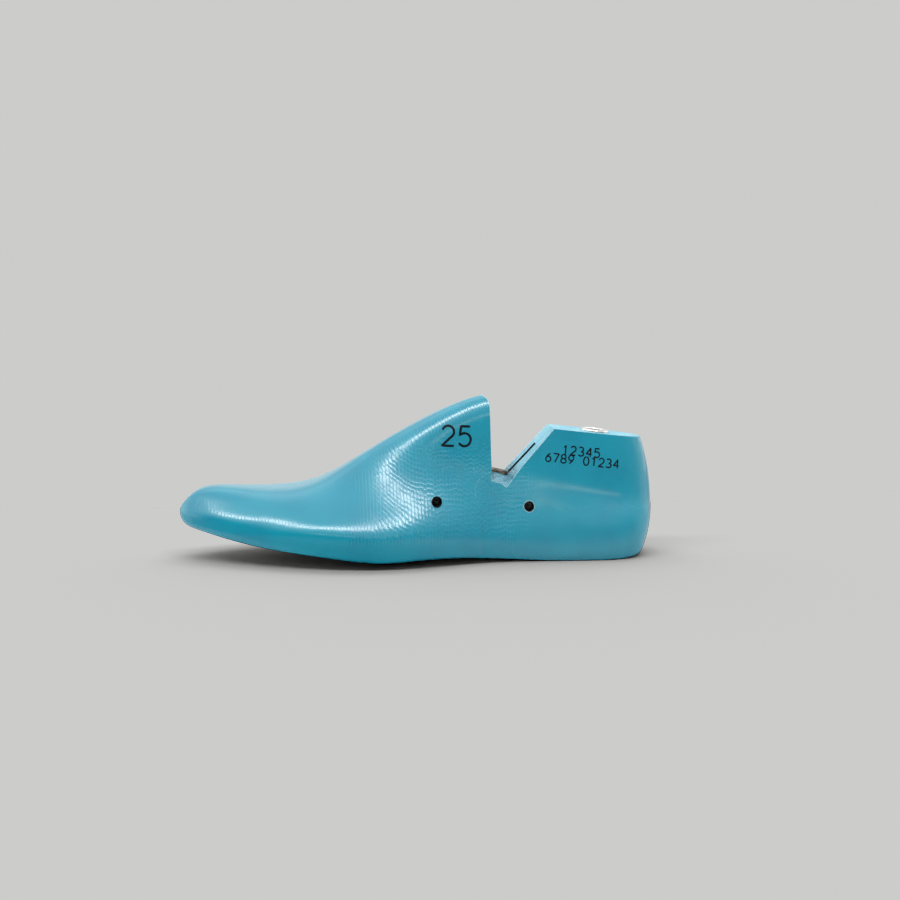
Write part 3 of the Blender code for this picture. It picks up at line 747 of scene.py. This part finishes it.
def wornSteel():
    t = thimble
    g, mm = look("wornSteel")
    x, y, z = g.split(mm)
    away = g.outward(x, y)
    turns = g.noise(g.joined(away, 0, g.times(z, 0.7)), 5.0, 3, 0.6)
    # painted shade on the bore's wall, darker further down
    deepAndShaded = g.ramp(z, -5.0, -0.2, 1, 0)
    inside = g.times(g.ramp(away, 5.3, 5.6, 1, 0), g.plus(0.55, g.times(deepAndShaded, 0.45)))
    patch = g.ramp(g.noise(mm, 0.35, 4, 0.6), 0.42, 0.72)
    tone = g.mixColour(patch, t["bright"], t["dull"])
    tone = g.mixColour(inside, tone, t["paintedShade"])
    rough = g.plus(g.ramp(turns, 0.3, 0.7, *t["roughness"]), g.times(patch, 0.15),
                   g.times(inside, 0.3))
    height = g.plus(g.times(turns, 0.012), g.times(g.noise(mm, 0.8, 3), 0.02))
    return g.finish(colour=tone, roughness=rough, normal=g.bump(height), Metallic=1.0)


def thimbleOutline():
    t = thimble
    top, low = t["proud"], t["proud"] - t["length"]
    inner, outer, sink, corner = t["inner"] / 2, t["outer"] / 2, t["countersink"], t["corner"]
    return ([(inner, low), (inner, top - sink), (inner + sink, top)]
            + quarter(outer - corner, top - corner, corner)
            + [(outer, low + t["foot"]), (outer - t["foot"], low)])


thimbleMesh = turned(thimbleOutline(), thimble["sides"])
thimblePiece = meshObject("thimble_shown", thimbleMesh, (wornSteel(),))
thimblePiece.matrix_world = downThimble
smoothWithCorners(thimblePiece)
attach(thimblePiece, "heel")
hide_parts("thimble")
print("thimble made")

# The spring link: three arched leaves on two pins
link = {
    "thickness": 0.0014,
    "space": 0.0003,
    "rise": 0.0138,
    "squareness": 2.4,
    "band": 0.0062,
    "eye": 0.0104,
    "eyeClear": 1.04,
    "travel": 0.0014,
    "archSteps": 110,
    "arcStep": math.radians(5),
    "eyeSides": 48,
    "cutterHalf": 0.005,
    "edge": 0.00018,        # round of the leaves' edges
    "steel": (0.55, 0.44, 0.35),
    "browned": (0.050, 0.032, 0.024),
    "worn": (0.66, 0.56, 0.47),
    # painted shade on the leaves' upward faces
    "paintedShade": (0.020, 0.016, 0.013),
    "fall": 0.25,           # the arch's slope where it shows
    "roughness": (0.28, 0.50),
}


def springSteel():
    p = link
    g, mm = look("springSteel")
    x, y, z = g.split(mm)
    falling = g.times(g.plus(z, g.times(x, p["fall"])), 2.2)
    streaks = g.noise(g.joined(g.times(x, 0.08), y, falling), 1.0, 4, 0.6)
    level = g.split(g.node("NewGeometry").outputs["Normal"])[2]
    patch = g.ramp(g.noise(mm, 0.22, 4, 0.6), 0.38, 0.66)
    edges = g.times(g.edge(0.0004, 0.7), g.ramp(g.noise(mm, 0.8, 3), 0.30, 0.60, 0.35, 1.0))
    tone = g.mixColour(patch, p["steel"], p["browned"])
    tone = g.mixColour(g.times(g.ramp(streaks, 0.46, 0.56), 0.9), tone, p["browned"])
    tone = g.mixColour(g.times(edges, 0.6), tone, p["worn"])
    # painted shade on the faces that point up
    tone = g.mixColour(g.ramp(level, 0.45, 0.85), tone, p["paintedShade"])
    rough = g.plus(g.ramp(streaks, 0.3, 0.7, *p["roughness"]), g.times(patch, 0.10))
    height = g.plus(g.times(streaks, 0.012), g.times(g.noise(mm, 2.4, 3), 0.006))
    return g.finish(colour=tone, roughness=rough, normal=g.bump(height), Metallic=0.9)


def archPoint(angle, side):
    # side 0 is the band's middle line, 1 its top edge and -1 its underside
    chord = rearPinAt - frontPinAt
    half = chord.length / 2
    along = Vector((chord.x, chord.z)).normalized()
    across = Vector((-along.y, along.x))
    power = 2 / link["squareness"]
    c, s = math.cos(angle), math.sin(angle)
    normal = Vector((link["rise"] * math.copysign(abs(c) ** (2 - power), c),
                     half * s ** (2 - power)))
    normal *= side * link["band"] / 2 / normal.length
    return (along * (half * (1 + math.copysign(abs(c) ** power, c)) + normal.x)
            + across * (link["rise"] * s ** power + normal.y))


def eyeArc(eye, leave, arrive):
    start = math.atan2(leave.y - eye.y, leave.x - eye.x)
    end = math.atan2(arrive.y - eye.y, arrive.x - eye.x)
    if end > start:
        end -= 2 * math.pi
    return arc(Vector((eye.x, 0, eye.y)), link["eye"] / 2, start, end, link["arcStep"])


def leafOutline():
    chord = rearPinAt - frontPinAt
    eyes = (Vector((0, 0)), Vector((chord.x, chord.z)))
    clear = link["eyeClear"] * link["eye"] / 2
    angles = [math.pi * (1 - i / link["archSteps"]) for i in range(link["archSteps"] + 1)]
    top, under = ([p for p in (archPoint(angle, side) for angle in angles)
                   if min((p - eye).length for eye in eyes) > clear] for side in (1, -1))
    under.reverse()
    return ([tuple(p) for p in top] + eyeArc(eyes[1], top[-1], under[0])
            + [tuple(p) for p in under] + eyeArc(eyes[0], under[-1], top[0]))


def rearEye():
    # longer than the pin by the travel that the spring takes up
    chord = rearPinAt - frontPinAt
    tilt = math.atan2(chord.z, chord.x)
    far = chord + chord.normalized() * link["travel"]
    radius, step = joint["bore"] / 2, link["arcStep"]
    return (arc(far, radius, tilt - math.pi / 2, tilt + math.pi / 2, step)
            + arc(chord, radius, tilt + math.pi / 2, tilt + 1.5 * math.pi, step))


springLook = springSteel()
half, cutter = link["thickness"] / 2, link["cutterHalf"]
for side, name in enumerate(("left", "middle", "right"), -1):
    outline = leafOutline()
    leaf = meshObject("leaf_" + name, plateThrough([(-half, outline), (half, outline)]),
                      (springLook,))
    cutWith(leaf, 0, crossRod(Vector(), joint["bore"], 2 * cutter, link["eyeSides"]),
            plateThrough([(-cutter, rearEye()), (cutter, rearEye())]))
    leaf.location = frontPinAt + Vector((0, side * (link["thickness"] + link["space"]), 0))
    bevel = leaf.modifiers.new("edges", "BEVEL")
    bevel.width = link["edge"]
    bevel.segments = 2
    bevel.limit_method = "ANGLE"
    bevel.angle_limit = math.radians(50)
    smoothWithCorners(leaf, 40)
    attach(leaf, "link")
    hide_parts("hinge_link_" + name)
print("link made")

pins = {
    "front": {"at": frontPinAt, "length": 0.048, "body": "forepart"},
    "rear": {"at": rearPinAt, "length": 0.036, "body": "heel"},
    "diameter": 0.0052,
    "round": 0.0005,
    "centre": 0.0009,       # radius of the lathe's centre mark
    "centreDepth": 0.7,     # a share of that radius
    "sides": 64,
    "oiled": (0.020, 0.020, 0.021),
    "bare": (0.16, 0.155, 0.15),
    "roughness": (0.34, 0.55),
}


def oiledSteel():
    g, mm = look("oiledSteel")
    x, y, z = g.split(mm)
    turns = g.noise(g.joined(g.times(g.outward(x, y), 2.0), 0, z), 3.0, 3, 0.6)
    tone = g.mixColour(g.ramp(g.noise(mm, 0.5, 4, 0.6), 0.50, 0.75), pins["oiled"], pins["bare"])
    tone = g.mixColour(g.times(g.edge(0.0003), 0.4), tone, pins["bare"])
    rough = g.ramp(g.noise(mm, 0.7, 3), 0.3, 0.7, *pins["roughness"])
    return g.finish(colour=tone, roughness=rough, normal=g.bump(g.times(turns, 0.01)),
                    Metallic=0.8)


def pinOutline(length):
    radius, corner, mark, half = pins["diameter"] / 2, pins["round"], pins["centre"], length / 2
    top = [(0, half - mark * pins["centreDepth"]), (mark, half)]
    top += quarter(radius - corner, half - corner, corner, steps=4)
    return top + [(r, -h) for r, h in reversed(top)]


pinLook = oiledSteel()
for name in ("front", "rear"):
    pinMesh = turned(pinOutline(pins[name]["length"]), pins["sides"], closed=False)
    pin = meshObject(name + "_pin_shown", pinMesh, (pinLook,))
    pin.matrix_world = lyingAcross(pins[name]["at"])
    smoothWithCorners(pin)
    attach(pin, pins[name]["body"])
    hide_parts(name + "_pin")
print("pins made")

# What the saw left along the cuts
burr = {
    # lowest and highest crest, and how far the foot goes on to either face
    "v": (0.00006, 0.00038, 0.00022),
    "rearBore": (0.00003, 0.00012, 0.00024),
    "cone": (0.00001, 0.00007, 0.00012),
    "vFrom": joint["footBack"][0] - 0.0062,     # both behind the hinge
    "vTo": last["inclineTopBack"] + 0.0005,
    "coneAbove": 0.012,
    "sunk": 0.00002,
    "ends": 0.15,           # how much of it is left at the ends of a run
    "colour": (0.60, 0.80, 0.85),
    "shade": (0.30, 0.60, 0.70),
}


def burrPlastic():
    g, mm = look("burrPlastic")
    tone = g.mixColour(g.ramp(g.noise(mm, 0.9, 3), 0.35, 0.65), burr["colour"], burr["shade"])
    rough = g.ramp(g.noise(mm, 1.5, 2), 0.3, 0.7, 0.45, 0.65)
    height = g.times(g.noise(mm, 3.0, 3), 0.04)
    return g.finish(colour=tone, roughness=rough, normal=g.bump(height))


def edgeRuns(mesh, slots, wanted):
    # Lines of (place, normal on either side) where two materials meet.
    build = bmesh.new()
    build.from_mesh(mesh)
    links = {}
    for edge in build.edges:
        met = [face.material_index for face in edge.link_faces]
        if sorted(met) == sorted(slots) and all(wanted(v.co) for v in edge.verts):
            for v, other in zip(edge.verts, reversed(edge.verts)):
                links.setdefault(v, []).append(other)
    runs, done = [], set()
    for start in sorted(links, key=lambda v: (len(links[v]), v.index)):
        if start in done:
            continue
        run, here = [], start
        while here is not None and here not in done:
            done.add(here)
            sides = []
            for slot in slots:
                total = Vector()
                for face in here.link_faces:
                    if face.material_index == slot:
                        total += face.normal * face.calc_area()
                sides.append(total.normalized())
            run.append((here.co.copy(), *sides))
            end = here
            here = next((v for v in links[here] if v not in done), None)
        if len(run) > 3:
            if start in links[end]:
                run.append(run[0])
            runs.append(run)
    build.free()
    return runs


def raggedEdge(build, run, sizes, seed):
    # A thin three-sided crust along a run of the edge, its crest rising and falling.
    low, high, reach = sizes
    sunk = burr["sunk"]
    loops = []
    for i, (place, skinWay, cutWay) in enumerate(run):
        along = (run[min(i + 1, len(run) - 1)][0] - run[max(i - 1, 0)][0]).normalized()
        out = (skinWay + cutWay).normalized()
        onSkin = along.cross(skinWay).normalized()
        onCut = along.cross(cutWay).normalized()
        onSkin *= -math.copysign(1, onSkin.dot(cutWay))
        onCut *= -math.copysign(1, onCut.dot(skinWay))
        far = i * 0.61 + seed
        rise = 0.5 + 0.5 * math.sin(far) * math.sin(2.3 * far + 1.0) * math.sin(5.1 * far + 2.0)
        rise = low + (high - low) * max(0.0, min(1.0, rise))
        ends = burr["ends"] if i in (0, len(run) - 1) else 1.0
        loops.append([build.verts.new(place + out * rise * ends),
                      build.verts.new(place + onSkin * reach * ends - skinWay * sunk),
                      build.verts.new(place + onCut * reach * ends - cutWay * sunk)])
    tube(build, loops)


def burrs(name, item, slots, wanted, body):
    build = bmesh.new()
    for seed, run in enumerate(edgeRuns(item.data, slots, wanted)):
        raggedEdge(build, run, burr[name], 7.0 * seed)
    bmesh.ops.recalc_face_normals(build, faces=build.faces)
    piece = meshObject(burrNames[name], build, (burrLook,))
    smoothWithCorners(piece, 60)
    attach(piece, body)
    print(piece.name, "made,", len(piece.data.polygons), "faces")


burrNames = {"v": "v_burr", "rearBore": "rear_bore_burr", "cone": "cone_burr"}
burrLook = burrPlastic()
burrs("v", heel, (0, 1),
      lambda p: p.z > hinge.z and burr["vFrom"] < p.x - hinge.x < burr["vTo"],
      "heel")
burrs("rearBore", heel, (0, 2), lambda p: (p - rearPinAt).xz.length < joint["bore"],
      "heel")
burrs("cone", forepart, (0, 1), lambda p: p.z > hinge.z + burr["coneAbove"],
      "forepart")

# Plain numbers on the cone and the heel, places and sizes in the side view
marks = {
    "size": {"text": "25", "at": (0.0119, 0.0632), "height": 0.0106, "wide": 0.0068,
             "step": 0.0092, "tilt": math.radians(-3), "stroke": 0.00128,
             "body": "forepart", "slot": "forepart_plastic"},
    "upper": {"text": "12345", "at": (0.0782, 0.0573), "height": 0.0048, "wide": 0.0030,
              "step": 0.0044, "tilt": math.radians(-6.5), "stroke": 0.00078,
              "body": "heel", "slot": "heel_plastic"},
    "lower": {"text": "6789 01234", "at": (0.0688, 0.0536), "height": 0.0046, "wide": 0.0030,
              "step": 0.0042, "tilt": math.radians(-6.5), "stroke": 0.00078,
              "body": "heel", "slot": "heel_plastic"},
    "proud": 0.00003,
    "sunk": 0.00025,
    "ends": 0.55,           # of the stroke's width, at its ends
    "every": 0.45,          # of the stroke's width, between the points along it
    "across": (-1, -0.4, 0.4, 1),
    "from": -0.2,           # the ink is laid on from this far in front
    "ink": (0.003, 0.007, 0.011),
    "rubbed": (0.008, 0.12, 0.17),
    "mirror": 0.12,
}


def curve(x, y, wide, high, start, end, steps=18):
    angles = [math.radians(start + (end - start) * i / steps) for i in range(steps + 1)]
    return [(x + wide * math.cos(a), y + high * math.sin(a)) for a in angles]


digits = {
    "0": [curve(0.5, 0.5, 0.48, 0.5, 90, 450)],
    "1": [[(0.2, 0.78), (0.55, 1), (0.55, 0)]],
    "2": [curve(0.5, 0.70, 0.46, 0.30, 165, -38) + [(0.02, 0), (1, 0)]],
    "3": [curve(0.46, 0.745, 0.42, 0.255, 150, -90) + curve(0.46, 0.25, 0.50, 0.25, 88, -150)],
    "4": [[(0.74, 0), (0.74, 1), (0, 0.3), (1, 0.3)]],
    "5": [[(0.90, 1), (0.16, 1), (0.08, 0.54)] + curve(0.47, 0.33, 0.50, 0.33, 125, -150)],
    "6": [[(0.80, 1), (0.36, 0.74)] + curve(0.5, 0.31, 0.46, 0.31, 165, 525)],
    "7": [[(0, 1), (1, 1), (0.34, 0)]],
    "8": [curve(0.5, 0.755, 0.40, 0.245, -90, 270), curve(0.5, 0.255, 0.48, 0.255, 90, 450)],
    "9": [curve(0.5, 0.69, 0.46, 0.31, -15, 345) + [(0.64, 0.26), (0.20, 0)]],
}


def inkLook():
    g, mm = look("ink")
    gone = g.ramp(g.noise(mm, 1.1, 4, 0.65), 0.62, 0.80)
    tone = g.mixColour(gone, marks["ink"], marks["rubbed"])
    rough = g.ramp(g.noise(mm, 0.6, 3), 0.3, 0.7, 0.40, 0.60)
    height = g.times(g.noise(mm, 2.5, 3), 0.01)
    return g.finish(colour=tone, roughness=rough, normal=g.bump(height),
                    Specular_IOR_Level=marks["mirror"])


def evenSteps(line, step):
    # The same line with points a step apart, its corners kept.
    out = [Vector(line[0])]
    for a, b in zip(line, line[1:]):
        a, b = Vector(a), Vector(b)
        count = max(1, round((b - a).length / step))
        out += [a + (b - a) * i / count for i in range(1, count + 1)]
    return out


def inkStroke(build, ground, line, width):
    # A ribbon laid on the ground's near side along a line of (x, z) places.
    rows = []
    for i, point in enumerate(line):
        way = (line[min(i + 1, len(line) - 1)] - line[max(i - 1, 0)]).normalized()
        across = Vector((-way.y, way.x))
        half = width / 2 * (marks["ends"] if i in (0, len(line) - 1) else 1.0)
        row = []
        for side in marks["across"]:
            spot = point + across * half * side
            start = Vector((spot.x, marks["from"], spot.y))
            row.append(ground.ray_cast(start, Vector((0, 1, 0)))[:2])
        places = [hit + normal * marks["proud"] for hit, normal in row]
        places += [hit - normal * marks["sunk"] for hit, normal in reversed(row)]
        rows.append([build.verts.new(place) for place in places])
    tube(build, rows)


def numbers(name, ground):
    mark = marks[name]
    build = bmesh.new()
    turn = Matrix.Rotation(mark["tilt"], 2)
    at, stroke = Vector(mark["at"]), mark["stroke"]
    for i, digit in enumerate(mark["text"]):
        for line in digits.get(digit, ()):
            flat = [turn @ Vector((i * mark["step"] + x * mark["wide"], y * mark["height"])) + at
                    for x, y in line]
            inkStroke(build, ground, evenSteps(flat, stroke * marks["every"]), stroke)
    bmesh.ops.recalc_face_normals(build, faces=build.faces)
    piece = meshObject("number_" + name, build, (inked,))
    smoothWithCorners(piece, 40)
    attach(piece, mark["body"])


def groundOf(item):
    build = bmesh.new()
    build.from_mesh(item.data)
    tree = BVHTree.FromBMesh(build)
    build.free()
    return tree


inked = inkLook()
numbers("size", groundOf(forepart))
heelGround = groundOf(heel)
for name in ("upper", "lower"):
    numbers(name, heelGround)
print("numbers made")

# Camera, floor and light
view = {
    "azimuth": math.radians(-5.5),
    "elevation": math.radians(8),
    "distance": 0.9,
    "target": (0.01794, 0, 0.05855),
    "lens": 65.478,
    "nearest": 0.01,
}
backdrop = (0.604, 0.604, 0.591)

camera = placed("camera", bpy.data.cameras.new("camera"))
camera.data.lens = view["lens"]
camera.data.clip_start = view["nearest"]
turn, lift = view["azimuth"], view["elevation"]
back = Vector((math.sin(turn) * math.cos(lift), -math.cos(turn) * math.cos(lift), math.sin(lift)))
camera.location = Vector(view["target"]) + back * view["distance"]
camera.rotation_euler = back.to_track_quat("Z", "Y").to_euler()
bpy.context.scene.camera = camera


studio = {
    "bar": {"place": (-0.34, -0.55, 1.25), "size": (1.88, 0.23), "power": 14.8,
            "colour": (1, 1, 1), "mirrored": True},
    "overhead": {"place": (0.05, 0.35, 1.30), "size": (1.40, 0.70), "power": 8.0,
                 "colour": (1, 1, 1), "mirrored": False},
    "warmStrip": {"place": (-0.10, -1.07, 0.60), "size": (1.50, 0.030), "power": 0.8,
                  "colour": (1, 0.86, 0.62), "mirrored": True},
    "room": (-0.5, 0.5, 0.04, 1.0),     # its light, from behind the camera to the far side
    # what a mirror shows, as shares of the backdrop: from, to, share there and share there
    "mirrorTop": (0.55, 0.82, 1, 1.9),
    "mirrorRight": (0.35, 0.85, 1, 1.8),
    "mirrorLeft": (-0.90, -0.60, 2.0, 1),
    "mirrorBack": (0.0, 0.5, 1, 1.45),
    "mirrorWindow": 1.5,        # high on the left
    "windowAt": ((-0.80, -0.35), (-0.1, 0.2), (0.40, 0.60)),
    "mirrorLow": 0.42,          # below, towards the camera
    "lowAt": ((-0.60, -0.10), (0.25, 0.62)),
    "mirrorFlag": 0.20,         # a black flag stands ahead on the left
    "flagAt": ((-0.20, 0.10), (-0.45, -0.25)),
    "floorBounce": (0.98, 0.98, 0.97),
    "floorNear": ((-0.45, -0.60), (0.45, 0.16)),
    "floorWide": 3.0,
    # painted shadow on the floor just ahead of the last, which only mirrors see
    "floorShadow": 0.18,
    "floorShadowAt": ((-0.04, 0.06), (-0.045, -0.02)),
    "floorFar": 0.50,           # darker towards the camera, in what mirrors see of the floor
    "floorFarAt": (-0.16, 0.0),
    "floorRoughness": 0.9,
}


def lamp(name):
    made = studio[name]
    light = placed(name, bpy.data.lights.new(name, "AREA"))
    light.data.shape = "RECTANGLE"
    light.data.size, light.data.size_y = made["size"]
    light.data.energy = made["power"]
    light.data.color = made["colour"]
    light.visible_glossy = made["mirrored"]
    light.location = made["place"]
    light.rotation_euler = (math.atan2(-light.location.y, light.location.z), 0, 0)


def showsBackdrop(g):
    # 1 for what the camera sees, straight or in something shiny or clear
    rays = g.node("LightPath").outputs
    clear = g.maths("MAXIMUM", rays["Is Glossy Ray"], rays["Is Transmission Ray"])
    return g.maths("MAXIMUM", rays["Is Camera Ray"], clear)


def roomLight():
    world = bpy.data.worlds.new("studio")
    bpy.context.scene.world = world
    g = Graph(world)
    x, y, z = g.split(g.node("TexCoord").outputs["Generated"])
    room = g.tree.nodes["Background"]
    room.inputs["Color"].default_value = (1, 1, 1, 1)
    g.feed(room.inputs["Strength"], g.ramp(y, *studio["room"]))
    level = g.times(*(g.ramp(way, *studio[side]) for way, side in (
        (z, "mirrorTop"), (x, "mirrorRight"), (x, "mirrorLeft"), (y, "mirrorBack"))))
    across, along, up = studio["windowAt"]
    window = g.times(g.ramp(x, *across, studio["mirrorWindow"], 0), g.ramp(y, *along, 1, 0),
                     g.ramp(z, *up))
    along, up = studio["lowAt"]
    low = g.ramp(z, *up, 1, 0)
    ahead = g.times(g.ramp(y, *along, 1 - studio["mirrorLow"], 0), low)
    across, along = studio["flagAt"]
    flag = g.times(g.ramp(x, *across, 1 - studio["mirrorFlag"], 0), g.ramp(y, *along, 1, 0), low)
    level = g.times(g.plus(level, window), g.maths("SUBTRACT", 1.0, ahead),
                    g.maths("SUBTRACT", 1.0, flag))
    # the camera itself sees the plain backdrop
    glossy = g.node("LightPath").outputs["Is Glossy Ray"]
    level = g.plus(g.times(glossy, g.maths("SUBTRACT", level, 1.0)), 1.0)
    seen = g.node("Background", Color=(*backdrop, 1), Strength=level)
    mix = g.node("MixShader", i0=showsBackdrop(g), i1=room.outputs[0], i2=seen.outputs[0])
    g.feed(g.tree.nodes["World Output"].inputs["Surface"], mix.outputs[0])


def floorLook():
    g = Graph(bpy.data.materials.new("paleFloor"))
    x, y, _ = g.split(g.node("NewGeometry").outputs["Position"])
    across, along = studio["floorShadowAt"]
    # painted shadow on the floor ahead of the last, seen in mirrors
    flag = g.times(g.ramp(y, *along, 1 - studio["floorShadow"], 0), g.ramp(x, *across, 1, 0))
    far = g.ramp(y, *studio["floorFarAt"], 1 - studio["floorFar"], 0)
    shown = g.mixColour(g.maths("MAXIMUM", flag, far), backdrop, (0, 0, 0))
    tone = g.mixColour(showsBackdrop(g), studio["floorBounce"], shown)
    return g.finish(colour=tone, roughness=studio["floorRoughness"], Specular_IOR_Level=0)


def paleFloor():
    # The near part takes the shadow; the wide part round it only lights and mirrors.
    paint = floorLook()
    (left, front), (right, back) = studio["floorNear"]
    far = studio["floorWide"]
    xs, ys = (-far, left, right, far), (-far, front, back, far)
    near, wide = bmesh.new(), bmesh.new()
    for i in range(3):
        for k in range(3):
            build = near if i == k == 1 else wide
            build.faces.new([build.verts.new((xs[i + a], ys[k + b], 0))
                             for a, b in ((0, 0), (1, 0), (1, 1), (0, 1))])
    floor, floorRound = (meshObject(name, build, (paint,)) for name, build in
                         (("floor", near), ("floor_round", wide)))
    floor.is_shadow_catcher = True
    floorRound.visible_camera = False


for name in ("bar", "overhead", "warmStrip"):
    lamp(name)
roomLight()
paleFloor()
bpy.context.scene.view_settings.view_transform = "Standard"
print("studio made")
